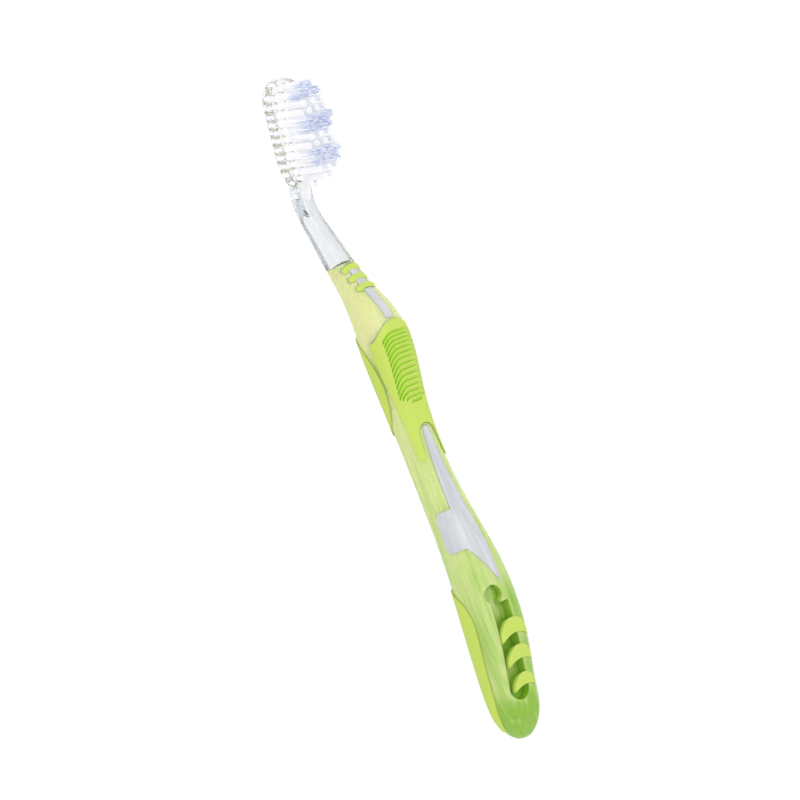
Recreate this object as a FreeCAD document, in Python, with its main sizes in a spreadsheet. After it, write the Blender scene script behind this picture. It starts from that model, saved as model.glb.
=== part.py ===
"""A manual toothbrush: clear core, translucent green handle, soft-touch pads and anchored tufts.

The brush lies on its back. +Z is the bristle side, the head points to -X and the tail to +X.
The origin is under the middle of its length, on the surface that it lies on. Millimetres and degrees.
"""
import FreeCAD
import Part
import Sketcher
import math
import os

from FreeCAD import Placement, Rotation, Vector

# Sections of the handle and neck, from the tail to the head: the step from the section before,
# the width, the depth from front to back and the height of the middle above the resting plane.
SECTIONS = (
    ("rise", 9.7, 14.6, 13.7, 8.2),
    ("palm", 11.5, 15.2, 14.2, 10.2),
    ("swell", 14.5, 14.0, 13.0, 11.1),
    ("taper", 16.1, 11.4, 10.5, 10.0),
    ("waist", 20.1, 10.0, 9.1, 9.1),
    ("flare", 13.3, 10.9, 10.0, 9.9),
    ("thumb", 14.0, 12.6, 12.0, 11.4),
    ("shoulder", 9.5, 11.6, 10.6, 11.1),
    ("slope", 7.4, 9.0, 8.1, 8.9),
    ("collar", 8.2, 7.5, 6.7, 6.3),
    ("neck", 9.9, 6.3, 5.6, 3.7),
)

SIZES = {
    # Tail dome, and the two places where the brush touches the surface
    "tail_length": 12.8,
    "tail_tip_height": 4.6,
    "heel_width": 13.2,
    "heel_depth": 12.4,
    "throat_step": 9.0,
    "throat_width": 5.7,
    "throat_depth": 4.8,
    "rest_flat": 0.35,
    "corner_share": 0.74,
    # Layers of the handle
    "wall": 1.4,
    "front_layer": 4.8,
    "spine_overlap": 3.0,
    "pad_sink": 0.7,
    "pad_proud": 0.35,
    # Head
    "head_step": 3.61,
    "head_end_height": 6.42,
    "head_end_width": 5.8,
    "head_tilt": 12.0,
    "head_thickness": 4.2,
    "head_back_round": 1.3,
    "head_front_round": 0.5,
    "head_root_inset": 4.0,
    "head_root_reach": 7.0,
    "head_root_width": 7.8,
    "head_root_share": 0.7,
    # Tuft holes, walls between them and margins round them
    "hole_diameter": 1.8,
    "hole_depth": 3.4,
    "row_wall": 0.48,
    "two_wall": 0.8,
    "three_wall": 1.6,
    "four_wall": 1.25,
    "side_margin": 0.75,
    "tip_margin": 1.7,
    "root_margin": 2.3,
    # Tufts and their anchors
    "blue_height": 10.4,
    "white_long_height": 10.0,
    "white_short_height": 9.2,
    "tuft_flare": 0.1,
    "tuft_tip_round": 0.5,
    "anchor_thickness": 0.3,
    "anchor_bite": 0.17,
    "anchor_height": 1.6,
    # Thumb pad: reach to both sides of the thumb section, edge, nose, notch and ribs
    "thumb_pad_front": 6.5,
    "thumb_pad_back": 32.7,
    "thumb_pad_edge_rise": 0.6,
    "thumb_pad_nose": 6.5,
    "thumb_pad_round": 6.8,
    "thumb_pad_leg_round": 2.2,
    "notch_from_thumb": 25.5,
    "notch_radius": 3.0,
    "notch_spread": 6.0,
    "rib_pitch": 1.08,
    "rib_groove": 0.52,
    "rib_lean": 55.0,
    "rib_first": 5.4,
    "rib_field_width": 10.7,
    "rib_field_taper": 0.09,
    # Back grips
    "upper_grip_radius": 21.3,
    "upper_grip_from_thumb": 8.1,
    "upper_grip_drop": 0.6,
    "lower_grip_from_palm": 3.0,
    "lower_grip_rise": 0.4,
    "lower_grip_lean": 14.0,
    "lower_grip_round": 12.5,
    "lower_grip_length": 28.5,
    # Neck bands: arches across the front below the collar
    "band_radius": 5.5,
    "band_width": 1.5,
    "band_reach": 2.5,
    "band_pitch": 3.0,
    "band_first": 0.5,
    # Crescent pads across the front of the tail
    "crescent_first": 1.8,
    "crescent_pitch": 7.5,
    "crescent_radius": 4.8,
    "crescent_shrink": 0.45,
    "crescent_width": 4.2,
    "crescent_inner_radius": 7.7,
    # Windows in the green body, where the clear core shows
    "strip_width": 2.6,
    "strip_gap": 0.8,
    "window_top_from_waist": 3.8,
    "window_top_width": 2.0,
    "window_far_side": 2.1,
    "window_near_side": 4.6,
    "window_tip_from_palm": 8.2,
    "window_tip_side": 1.2,
    "lobe_length": 11.4,
    "lobe_from_taper": 5.1,
    "lobe_rise": 0.4,
    "lobe_inner_side": 1.0,
    "lobe_corner": 2.0,
    # Well in the front of the tail, bridged by the crescents
    "well_depth": 3.0,
    "well_lean": 11.5,
    "well_side": 1.9,
    "well_width": 6.2,
    "well_from_palm": 3.7,
    "well_length": 27.4,
    "spoon_radius": 2.75,
    "spoon_from_palm": 6.1,
    "spoon_side": 1.0,
    # Oval gate mark on the near side of the tail's dome
    "mark_from_tail": 6.33,
    "mark_side": 4.87,
    "mark_rise": 3.06,
    "mark_width": 5.4,
    "mark_length": 2.4,
    "mark_depth": 0.4,
    "mark_turn": 59.1,
}

# Turns of the tail dome's sections, from the heel towards the tip
DOME_TURNS = (27, 50, 68, 82)
# Tufts in each row, from the tip of the head, and what each row is filled with
ROW_TUFTS = (2, 3, 3, 4, 4, 3, 3, 4, 4, 3, 3, 2)
ROW_FILLS = ("blue", "blue", "white_long", "white_short") * 3
# The last row with four tufts, counted from nought: the head narrows behind it
LAST_FULL_ROW = 8
RIB_COUNT = 15
# The last slots between the ribs are shorter, so that their field has a round end
LAST_SLOT_SHARES = (0.9, 0.72, 0.42)
BAND_COUNT = 3
CRESCENT_COUNT = 3
SAME_HEIGHT = 1e-4
HANDLE = ["heel"] + [name for name, *sizes in SECTIONS]

# A plane across the brush: its x is the part's Y and its y is the part's Z
ACROSS = Rotation(Vector(1, 1, 1), 120)
# A plane along the brush: its x is the part's X and its y is the part's Z
ALONG = Rotation(Vector(1, 0, 0), 90)
SIDEWAYS = Vector(0, 1, 0)
# The line that turns a mark on the front to face out of the dome's near side
MARK_LINE = Vector(0.877, 0.462, -0.130)

doc = FreeCAD.newDocument("toothbrush")
dims = doc.addObject("Spreadsheet::Sheet", "dims")
places = doc.addObject("App::FeaturePython", "places")
nodes = {}


def fill_sheet():
    """Write every driving size into the sheet under its own name."""
    table = dict(SIZES)
    for name, step, width, depth, height in SECTIONS:
        table.update({
            f"{name}_step": step,
            f"{name}_width": width,
            f"{name}_depth": depth,
            f"{name}_height": height,
        })
    for row, (name, size) in enumerate(table.items(), 1):
        dims.set(f"A{row}", name)
        dims.set(f"B{row}", str(size))
        dims.setAlias(f"B{row}", name)
    doc.recompute()


def derive(name, expression):
    """Add a place that follows from the sheet."""
    places.addProperty("App::PropertyFloat", name)
    places.setExpression(name, expression)


def number(expression):
    return float(dims.evalExpression(expression))


def add(kind, name, **settings):
    item = doc.addObject(kind, name)
    for key, setting in settings.items():
        setattr(item, key, setting)
    return item


def bind(item, **sizes):
    for key, expression in sizes.items():
        item.setExpression(key, expression)
    return item


def place(item, x="0", y="0", z="0", turned=None, axis=None, angle=None):
    """Put an item at bound coordinates, with a fixed turn or a bound turn about an axis."""
    if axis is not None:
        item.Placement = Placement(Vector(), Rotation(axis, 1))
        item.setExpression(".Placement.Rotation.Angle", angle)
    elif turned is not None:
        item.Placement = Placement(Vector(), turned)
    for letter, expression in zip("xyz", (x, y, z)):
        item.setExpression(f".Placement.Base.{letter}", expression)
    return item


def cut(name, base, tool):
    return add("Part::Cut", name, Base=base, Tool=tool)


def common(name, base, tool):
    return add("Part::Common", name, Base=base, Tool=tool)


def fuse(name, *shapes):
    return add("Part::MultiFuse", name, Shapes=list(shapes))


def group(name, shapes):
    return add("Part::Compound", name, Links=list(shapes))


def box(name, length, width, height, **where):
    item = bind(add("Part::Box", name), Length=length, Width=width, Height=height)
    return place(item, **where)


def cylinder(name, radius, height, **where):
    item = bind(add("Part::Cylinder", name), Radius=radius, Height=height)
    return place(item, **where)


def node(name, item):
    """Name a finished sub-part."""
    item.Label = name
    nodes[name] = item
    return item


def lay_out():
    """Work out where the sections and the head are from the steps in the sheet."""
    derive("head_cos", "cos(dims.head_tilt * 1 deg)")
    derive("head_sin", "sin(dims.head_tilt * 1 deg)")
    derive("row_pitch", "dims.hole_diameter + dims.row_wall")
    derive("first_row", "dims.hole_diameter / 2 + dims.tip_margin")
    derive("last_row", f"first_row + {len(ROW_TUFTS) - 1} * row_pitch")
    derive("head_length", "last_row + dims.hole_diameter / 2 + dims.root_margin")
    derive("head_width", "4 * dims.hole_diameter + 3 * dims.four_wall + 2 * dims.side_margin")
    derive("tip_overhang", "(dims.head_thickness - dims.head_back_round) * head_sin"
                           " + dims.head_back_round * (1 - head_cos)")
    steps = " + ".join(f"dims.{name}_step" for name, *sizes in SECTIONS)
    derive("half_length", f"(dims.tail_length + {steps} + dims.throat_step + dims.head_step"
                          " + head_length * head_cos + tip_overhang) / 2")
    derive("heel_x", "half_length - dims.tail_length")
    derive("heel_height", "dims.heel_depth / 2 + dims.pad_proud - dims.rest_flat")
    last = "heel_x"
    for name, *sizes in SECTIONS:
        derive(f"{name}_x", f"{last} - dims.{name}_step")
        last = f"{name}_x"
    derive("throat_x", f"{last} - dims.throat_step")
    derive("throat_height", "dims.throat_depth / 2 - dims.rest_flat")
    derive("face_x", "throat_x - dims.head_step - head_length * head_cos")
    derive("face_z", "dims.head_end_height + head_length * head_sin")
    doc.recompute()


def rounded_rectangle(sketch, width, depth, corner):
    """Draw a bound rounded rectangle round the sketch's origin."""
    reach_x = number(f"({width}) / 2 - ({corner})")
    reach_y = number(f"({depth}) / 2 - ({corner})")
    radius = number(corner)
    quarter = math.pi / 2
    arcs = []
    for turn, (side_x, side_y) in enumerate(((1, -1), (1, 1), (-1, 1), (-1, -1))):
        circle = Part.Circle(Vector(side_x * reach_x, side_y * reach_y), Vector(0, 0, 1), radius)
        arcs.append(Part.ArcOfCircle(circle, (turn - 1) * quarter, turn * quarter))
    lines = [Part.LineSegment(arcs[turn].EndPoint, arcs[turn - 3].StartPoint) for turn in range(4)]
    sketch.addGeometry(arcs + lines)
    rules = []
    for turn in range(4):
        rules.append(Sketcher.Constraint("Tangent", turn, 2, 4 + turn, 1))
        rules.append(Sketcher.Constraint("Tangent", 4 + turn, 2, (turn + 1) % 4, 1))
        rules.append(Sketcher.Constraint("Horizontal" if turn % 2 else "Vertical", 4 + turn))
    for turn in (1, 2, 3):
        rules.append(Sketcher.Constraint("Equal", 0, turn))
    rules.append(Sketcher.Constraint("Symmetric", 0, 3, 2, 3, -1, 1))
    sketch.addConstraint(rules)
    bound = (
        (Sketcher.Constraint("Radius", 0, radius), corner),
        (Sketcher.Constraint("DistanceX", 3, 3, 0, 3, 2 * reach_x), f"({width}) - 2 * ({corner})"),
        (Sketcher.Constraint("DistanceY", 0, 3, 1, 3, 2 * reach_y), f"({depth}) - 2 * ({corner})"),
    )
    for constraint, expression in bound:
        index = sketch.addConstraint(constraint)
        sketch.setExpression(f"Constraints[{index}]", expression)


def section(name, x, width, depth, height):
    """Draw one section across the brush: a rectangle with soft corners."""
    sketch = place(add("Sketcher::SketchObject", name), x=x, z=height, turned=ACROSS)
    rounded_rectangle(sketch, width, depth, f"dims.corner_share / 2 * min({width}; {depth})")
    return sketch


def height_of(name):
    return "places.heel_height" if name == "heel" else f"dims.{name}_height"


def handle_sections(form, grow, names):
    """Draw the tail dome and the named sections, grown outwards by a bound distance."""
    sketches = []
    for turn in reversed(DOME_TURNS):
        share = f"cos({turn} deg)"
        sketches.append(section(
            f"{form}_dome_{turn}",
            x=f"places.heel_x + dims.tail_length * sin({turn} deg)",
            width=f"(dims.heel_width + 2 * ({grow})) * {share}",
            depth=f"(dims.heel_depth + 2 * ({grow})) * {share}",
            height=f"dims.tail_tip_height"
                   f" + (places.heel_height - dims.tail_tip_height) * (1 - sin({turn} deg))",
        ))
    for name in names:
        sketches.append(section(
            f"{form}_{name}",
            x=f"places.{name}_x",
            width=f"dims.{name}_width + 2 * ({grow})",
            depth=f"dims.{name}_depth + 2 * ({grow})",
            height=height_of(name),
        ))
    return sketches


def loft(name, sketches):
    return add("Part::Loft", name, Sections=sketches, Solid=True)


def prism(name, sketch, height, both_ways=False):
    """A closed outline drawn out along its plane's normal."""
    item = add("Part::Extrusion", name, Base=sketch, DirMode="Normal", Solid=True,
               Symmetric=both_ways)
    return bind(item, LengthFwd=height)


def outer_form():
    """The whole outside from the tail to the root of the head, in one smooth skin."""
    sketches = handle_sections("outer", "0", HANDLE)
    sketches.append(section("outer_throat", "places.throat_x", "dims.throat_width",
                            "dims.throat_depth", "places.throat_height"))
    reach = "places.head_length - dims.head_root_inset"
    for name, share in (("root", "1"), ("root_end", "dims.head_root_share")):
        sketches.append(section(
            f"outer_{name}",
            x=f"places.face_x + ({reach}) * places.head_cos"
              f" - dims.head_thickness / 2 * places.head_sin",
            width=f"dims.head_root_width * {share}",
            depth=f"(dims.head_thickness - dims.head_front_round / 2) * {share}",
            height=f"places.face_z - ({reach}) * places.head_sin"
                   f" - dims.head_thickness / 2 * places.head_cos",
        ))
        reach += " - dims.head_root_reach"
    return loft("outer_form", sketches)


def spine_form():
    """The core inside the handle: one wall below the skin, and deeper under the tail's well."""
    sketches = []
    for name in HANDLE[:-1]:
        front = "dims.front_layer" if name in ("heel", "rise", "palm") else "dims.wall"
        sketches.append(section(
            f"spine_{name}",
            x=f"places.{name}_x",
            width=f"dims.{name}_width - 2 * dims.wall",
            depth=f"dims.{name}_depth - dims.wall - {front}",
            height=f"{height_of(name)} + (dims.wall - {front}) / 2",
        ))
    sketches.append(section(
        "spine_end", "places.collar_x - dims.spine_overlap", "dims.collar_width - 2 * dims.wall",
        "dims.collar_depth - 2 * dims.wall", "dims.collar_height"))
    return loft("spine_form", sketches)


def crown_form():
    """The skin of the pads, a little proud of the green body."""
    return loft("crown_form", handle_sections("crown", "dims.pad_proud", HANDLE))


def seat_form():
    """The floor of the pads' seats in the green body."""
    return loft("seat_form", handle_sections("seat", "-dims.pad_sink", HANDLE))


def origin_plane(body, role):
    return next(plane for plane in body.Origin.OriginFeatures if plane.Role == role)


def body_sketch(body, name, role):
    sketch = body.newObject("Sketcher::SketchObject", name)
    sketch.AttachmentSupport = [(origin_plane(body, role), "")]
    sketch.MapMode = "FlatFace"
    return sketch


def constrain(sketch, rules, bound):
    """Add plain constraints, then the bound ones with their expressions."""
    sketch.addConstraint([Sketcher.Constraint(*rule) for rule in rules])
    for rule, expression in bound:
        index = sketch.addConstraint(Sketcher.Constraint(*rule, number(expression)))
        sketch.setExpression(f"Constraints[{index}]", expression)


def arc_about(centre, radius, first, last):
    return Part.ArcOfCircle(Part.Circle(centre, Vector(0, 0, 1), radius), first, last)


def level_edges(shape, height):
    """Names of the edges that lie level at a height."""
    names = []
    for index, edge in enumerate(shape.Edges, 1):
        if abs(edge.BoundBox.ZMin - height) + abs(edge.BoundBox.ZMax - height) < SAME_HEIGHT:
            names.append(f"Edge{index}")
    return names


def head_plate():
    """The head's plate: a round tip, straight sides and a taper to the neck, with soft edges."""
    body = doc.addObject("PartDesign::Body", "head_plate")
    sketch = body_sketch(body, "head_outline", "XY_Plane")
    taper_start = f"places.first_row + {LAST_FULL_ROW} * places.row_pitch"
    half = number("places.head_width / 2")
    start = number(taper_start)
    length = number("places.head_length")
    end = number("dims.head_end_width / 2")
    radius = ((length - start) ** 2 + (half - end) ** 2) / (2 * (half - end))
    sweep = math.asin((length - start) / radius)
    quarter = math.pi / 2
    sketch.addGeometry([
        arc_about(Vector(half, 0), half, quarter, 3 * quarter),
        Part.LineSegment(Vector(half, -half), Vector(start, -half)),
        arc_about(Vector(start, radius - half), radius, -quarter, sweep - quarter),
        Part.LineSegment(Vector(length, -end), Vector(length, end)),
        arc_about(Vector(start, half - radius), radius, quarter - sweep, quarter),
        Part.LineSegment(Vector(start, half), Vector(half, half)),
    ])
    constrain(sketch, (
        ("Tangent", 0, 2, 1, 1), ("Tangent", 1, 2, 2, 1),
        ("Coincident", 2, 2, 3, 1), ("Coincident", 3, 2, 4, 1),
        ("Tangent", 4, 2, 5, 1), ("Tangent", 5, 2, 0, 1),
        ("Horizontal", 1), ("Horizontal", 5), ("Vertical", 1, 2, 5, 1),
        ("Symmetric", 3, 1, 3, 2, -1), ("PointOnObject", 0, 3, -1),
    ), (
        (("Radius", 0), "places.head_width / 2"),
        (("DistanceX", -1, 1, 0, 3), "places.head_width / 2"),
        (("DistanceX", -1, 1, 1, 2), taper_start),
        (("DistanceX", -1, 1, 3, 1), "places.head_length"),
        (("DistanceY", 3, 1, 3, 2), "dims.head_end_width"),
    ))
    plate = body.newObject("PartDesign::Pad", "head_pad")
    plate.Profile = sketch
    plate.Reversed = True
    bind(plate, Length="dims.head_thickness")
    doc.recompute()
    last = plate
    for side, height in (("back", -number("dims.head_thickness")), ("front", 0)):
        fillet = body.newObject("PartDesign::Fillet", f"head_{side}_fillet")
        fillet.Base = (last, level_edges(last.Shape, height))
        bind(fillet, Radius=f"dims.head_{side}_round")
        doc.recompute()
        last = fillet
    return place(body, x="places.face_x", z="places.face_z", axis=SIDEWAYS, angle="dims.head_tilt")


def tuft_form(fill):
    """One tuft about its own axis: a root that fills the hole, a slight flare and a soft tip."""
    body = doc.addObject("PartDesign::Body", f"{fill}_tuft_form")
    sketch = body_sketch(body, f"{fill}_tuft_outline", "XZ_Plane")
    root = number("dims.hole_diameter / 2")
    tip = number("dims.hole_diameter / 2 + dims.tuft_flare")
    depth = number("dims.hole_depth")
    height = number(f"dims.{fill}_height")
    soft = number("dims.tuft_tip_round")
    sketch.addGeometry([
        Part.LineSegment(Vector(0, -depth), Vector(root, -depth)),
        Part.LineSegment(Vector(root, -depth), Vector(root, 0)),
        Part.LineSegment(Vector(root, 0), Vector(tip, height - soft)),
        arc_about(Vector(tip - soft, height - soft), soft, 0, math.pi / 2),
        Part.LineSegment(Vector(tip - soft, height), Vector(0, height)),
        Part.LineSegment(Vector(0, height), Vector(0, -depth)),
    ])
    rules = [("Coincident", side, 2, (side + 1) % 6, 1) for side in range(6)]
    rules += [
        ("Horizontal", 0), ("Vertical", 1), ("Horizontal", 4), ("Vertical", 5),
        ("PointOnObject", 0, 1, -2), ("PointOnObject", 1, 2, -1),
        ("Horizontal", 3, 3, 3, 1), ("Vertical", 3, 3, 3, 2),
    ]
    constrain(sketch, rules, (
        (("DistanceX", -1, 1, 1, 2), "dims.hole_diameter / 2"),
        (("DistanceX", -1, 1, 2, 2), "dims.hole_diameter / 2 + dims.tuft_flare"),
        (("DistanceY", 0, 1, -1, 1), "dims.hole_depth"),
        (("DistanceY", -1, 1, 4, 2), f"dims.{fill}_height"),
        (("Radius", 3), "dims.tuft_tip_round"),
    ))
    turned = body.newObject("PartDesign::Revolution", f"{fill}_tuft_turned")
    turned.Profile = sketch
    turned.ReferenceAxis = (sketch, ["V_Axis"])
    turned.Angle = 360
    return body


def tufts_and_anchors():
    """Set a tuft and its anchor in every place of every row, and return their sockets."""
    forms = {fill: tuft_form(fill) for fill in set(ROW_FILLS)}
    anchor = box("anchor_form", "dims.hole_diameter + 2 * dims.anchor_bite", "dims.anchor_thickness",
                 "dims.anchor_height", x="-dims.hole_diameter / 2 - dims.anchor_bite",
                 y="-dims.anchor_thickness / 2", z="-dims.hole_depth")
    hole = cylinder("hole_form", "dims.hole_diameter / 2", "2 * dims.hole_depth",
                    z="-dims.hole_depth")
    socket = fuse("socket_form", hole, anchor)
    walls = {2: "dims.two_wall", 3: "dims.three_wall", 4: "dims.four_wall"}
    anchors = []
    sockets = []
    for row, (count, fill) in enumerate(zip(ROW_TUFTS, ROW_FILLS)):
        along = f"(places.first_row + {row} * places.row_pitch)"
        for column in range(count):
            where = {
                "x": f"places.face_x + {along} * places.head_cos",
                "y": f"({column} - {(count - 1) / 2}) * (dims.hole_diameter + {walls[count]})",
                "z": f"places.face_z - {along} * places.head_sin",
                "axis": SIDEWAYS,
                "angle": "dims.head_tilt",
            }
            spot = f"{row + 1:02d}_{column + 1}"
            colour = fill.split("_")[0]
            tuft = place(cut(f"tuft_{spot}", forms[fill], anchor), **where)
            node(f"{colour}_tuft_{spot}", tuft)
            anchors.append(place(group(f"anchor_{spot}", [anchor]), **where))
            sockets.append(place(group(f"socket_{spot}", [socket]), **where))
    node("tuft_anchors", group("tuft_anchors", anchors))
    return group("sockets", sockets)


def side_of_collar(name, first, last):
    """A block that holds all of the brush between two places along it."""
    return box(name, f"({last}) - ({first})", "2 * dims.palm_width", "4 * dims.palm_depth",
               x=first, y="-dims.palm_width", z="-dims.palm_depth")


def below_rest():
    """Everything under the surface that the brush lies on."""
    return box("below_rest", "2 * places.half_length", "2 * dims.palm_width", "dims.palm_depth",
               x="-places.half_length", y="-dims.palm_width", z="-dims.palm_depth")


def clear_core(outer, spine, windows, sockets, floor):
    """Head, neck and spine in one clear moulding that fills the windows, with a socket for each tuft."""
    head_side = side_of_collar("head_side", "-places.half_length", "places.collar_x")
    blank = fuse("core_blank", common("neck_blank", outer, head_side), spine, head_plate(),
                 common("window_fill", outer, windows))
    drilled = cut("core_drilled", blank, sockets)
    return node("clear_core", cut("core", drilled, floor))


def crescent(name, apex, radius, inner_radius, width, floor):
    """An upright prism with a crescent plan, whose horns point to the tail."""
    height = "2 * dims.palm_depth"
    outside = cylinder(f"{name}_outside", radius, height, x=f"{apex} + {radius}", z=floor)
    inside = cylinder(f"{name}_inside", inner_radius, height,
                      x=f"{apex} + {width} + {inner_radius}", z=floor)
    return cut(f"{name}_prism", outside, inside)


def band_prism(name, apex):
    """An upright prism with the plan of an arch, which has round ends."""
    floor = "dims.collar_height + dims.collar_depth / 4"
    bow = crescent(f"{name}_bow", apex, "dims.band_radius", "dims.band_radius", "dims.band_width", floor)
    reach = box(f"{name}_reach", "dims.band_radius", "2 * dims.band_reach", "2 * dims.palm_depth",
                x=apex, y="-dims.band_reach", z=floor)
    parts = [common(f"{name}_arch", bow, reach)]
    for side in ("near", "far"):
        parts.append(cylinder(
            f"{name}_{side}_end", "dims.band_width / 2", "2 * dims.palm_depth",
            x=f"{apex} + dims.band_width / 2 + dims.band_radius"
              f" - sqrt(dims.band_radius^2 - dims.band_reach^2)",
            y="-dims.band_reach" if side == "near" else "dims.band_reach", z=floor))
    return fuse(f"{name}_prism", *parts)


def band_prisms():
    prisms = []
    for band in range(BAND_COUNT):
        apex = f"places.collar_x + dims.band_first + {band} * dims.band_pitch"
        prisms.append(band_prism(f"neck_band_{band + 1}", apex))
    return prisms


def crescent_prisms():
    prisms = []
    for pad in range(CRESCENT_COUNT):
        apex = f"places.palm_x + dims.crescent_first + {pad} * dims.crescent_pitch"
        prisms.append(crescent(
            f"tail_pad_{pad + 1}", apex, f"(dims.crescent_radius - {pad} * dims.crescent_shrink)",
            "dims.crescent_inner_radius", f"(dims.crescent_width - {pad} * dims.crescent_shrink)",
            "places.heel_height"))
    return prisms


def notch():
    """The arch between the thumb pad's legs, whose sides spread towards the tail."""
    sketch = place(add("Sketcher::SketchObject", "notch_outline"), z="dims.waist_height",
                   x="places.thumb_x + dims.notch_from_thumb")
    radius = number("dims.notch_radius")
    reach = number("dims.thumb_pad_back")
    spread = math.radians(number("dims.notch_spread"))
    start = Vector(-radius * math.sin(spread), radius * math.cos(spread))
    end = Vector(reach, start.y + (reach - start.x) * math.tan(spread))
    sketch.addGeometry([
        arc_about(Vector(0, 0), radius, math.pi / 2 + spread, 1.5 * math.pi - spread),
        Part.LineSegment(Vector(start.x, -start.y), Vector(end.x, -end.y)),
        Part.LineSegment(Vector(end.x, -end.y), end),
        Part.LineSegment(end, start),
    ])
    constrain(sketch, (
        ("Tangent", 0, 2, 1, 1), ("Coincident", 1, 2, 2, 1), ("Coincident", 2, 2, 3, 1),
        ("Tangent", 3, 2, 0, 1), ("Coincident", 0, 3, -1, 1), ("Symmetric", 2, 1, 2, 2, -1),
    ), (
        (("Radius", 0), "dims.notch_radius"),
        (("DistanceX", -1, 1, 2, 1), "dims.thumb_pad_back"),
        (("DistanceY", 2, 1, 2, 2), "2 * (dims.notch_radius + dims.thumb_pad_back"
                                    " * sin(dims.notch_spread * 1 deg)) / cos(dims.notch_spread * 1 deg)"),
    ))
    return prism("notch", sketch, "2 * dims.palm_depth")


def thumb_pad_prism():
    """The thumb pad, with a round nose and round leg tips, less the notch between its legs."""
    sketch = place(add("Sketcher::SketchObject", "thumb_pad_outline"), x="places.thumb_x",
                   z="dims.thumb_height + dims.thumb_pad_edge_rise", turned=ALONG)
    front = number("dims.thumb_pad_front")
    back = number("dims.thumb_pad_back")
    nose = number("dims.thumb_pad_nose")
    tip = number("dims.thumb_pad_leg_round")
    top = number("dims.thumb_depth + dims.thumb_pad_nose")
    sketch.addGeometry([
        Part.LineSegment(Vector(back, tip), Vector(back, top)),
        Part.LineSegment(Vector(back, top), Vector(-front, top)),
        Part.LineSegment(Vector(-front, top), Vector(-front, nose)),
        arc_about(Vector(nose - front, nose), nose, math.pi, 1.5 * math.pi),
        Part.LineSegment(Vector(nose - front, 0), Vector(back - tip, 0)),
        arc_about(Vector(back - tip, tip), tip, 1.5 * math.pi, 2 * math.pi),
    ])
    constrain(sketch, (
        ("Coincident", 0, 2, 1, 1), ("Coincident", 1, 2, 2, 1), ("Tangent", 2, 2, 3, 1),
        ("Tangent", 3, 2, 4, 1), ("Tangent", 4, 2, 5, 1), ("Tangent", 5, 2, 0, 1), ("Vertical", 0),
        ("Horizontal", 1), ("Vertical", 2), ("PointOnObject", 4, 2, -1), ("PointOnObject", 4, 1, -1),
    ), (
        (("DistanceX", -1, 1, 0, 1), "dims.thumb_pad_back"),
        (("DistanceX", 1, 2, -1, 1), "dims.thumb_pad_front"),
        (("DistanceY", -1, 1, 0, 2), "dims.thumb_depth + dims.thumb_pad_nose"),
        (("Radius", 3), "dims.thumb_pad_nose"),
        (("Radius", 5), "dims.thumb_pad_leg_round"),
    ))
    whole = prism("thumb_pad_whole", sketch, "2 * dims.thumb_width", both_ways=True)
    nose_x = "places.thumb_x - dims.thumb_pad_front + dims.thumb_pad_round"
    nose_end = cylinder("nose_end", "dims.thumb_pad_round", "2 * dims.palm_depth", x=nose_x)
    rest = box("nose_rest", "dims.thumb_pad_front + dims.thumb_pad_back", "2 * dims.thumb_pad_round",
               "2 * dims.palm_depth", x=nose_x, y="-dims.thumb_pad_round")
    rounded = common("thumb_pad_rounded", whole, fuse("thumb_pad_plan", nose_end, rest))
    return cut("thumb_pad_prism", rounded, notch())


def upper_grip_prism():
    """A wide cylinder across the brush, which cuts a lens out of the back of the thumb swell."""
    return cylinder("upper_grip_prism", "dims.upper_grip_radius", "2 * dims.palm_width",
                    x="places.thumb_x + dims.upper_grip_from_thumb", y="dims.palm_width",
                    z="dims.thumb_height - dims.upper_grip_drop - dims.upper_grip_radius",
                    turned=ALONG)


def lower_grip_prism():
    """The back half of the tail, below a sloping edge with a round upper end."""
    end = cylinder("lower_grip_end", "dims.lower_grip_round", "2 * dims.palm_width",
                   y="dims.palm_width", z="-dims.lower_grip_round", turned=ALONG)
    length = box("lower_grip_length", "dims.lower_grip_length", "2 * dims.palm_width",
                 "2 * dims.lower_grip_round", y="-dims.palm_width", z="-2 * dims.lower_grip_round")
    return place(fuse("lower_grip_prism", end, length), axis=SIDEWAYS, angle="dims.lower_grip_lean",
                 x="places.palm_x + dims.lower_grip_from_palm",
                 z="dims.palm_height + dims.lower_grip_rise")


def rib_slots():
    """Leaning slots between the thumb pad's ribs, through which the green body shows."""
    slots = []
    for rib in range(RIB_COUNT):
        place_from_last = rib - RIB_COUNT + len(LAST_SLOT_SHARES)
        share = LAST_SLOT_SHARES[place_from_last] if place_from_last >= 0 else 1
        width = f"((dims.rib_field_width - {rib} * dims.rib_field_taper) * {share})"
        slots.append(box(
            f"rib_slot_{rib + 1}", "dims.rib_groove", width, "2 * dims.thumb_depth",
            x=f"places.thumb_x + dims.rib_first + {rib} * dims.rib_pitch", y=f"-{width} / 2",
            z="dims.thumb_height", axis=SIDEWAYS, angle="-dims.rib_lean"))
    return group("rib_slots", slots)


def upper_strip(bands):
    """The narrow window from the collar to the thumb pad, left whole under the neck bands."""
    start = "places.collar_x + dims.strip_gap"
    strip = box("upper_strip", f"places.thumb_x - dims.thumb_pad_front - dims.strip_gap - ({start})",
                "dims.strip_width", "2 * dims.palm_depth", x=start, y="-dims.strip_width / 2",
                z="(dims.collar_height + dims.slope_height) / 2")
    return cut("upper_window", strip, group("bands_over_strip", bands))


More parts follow.
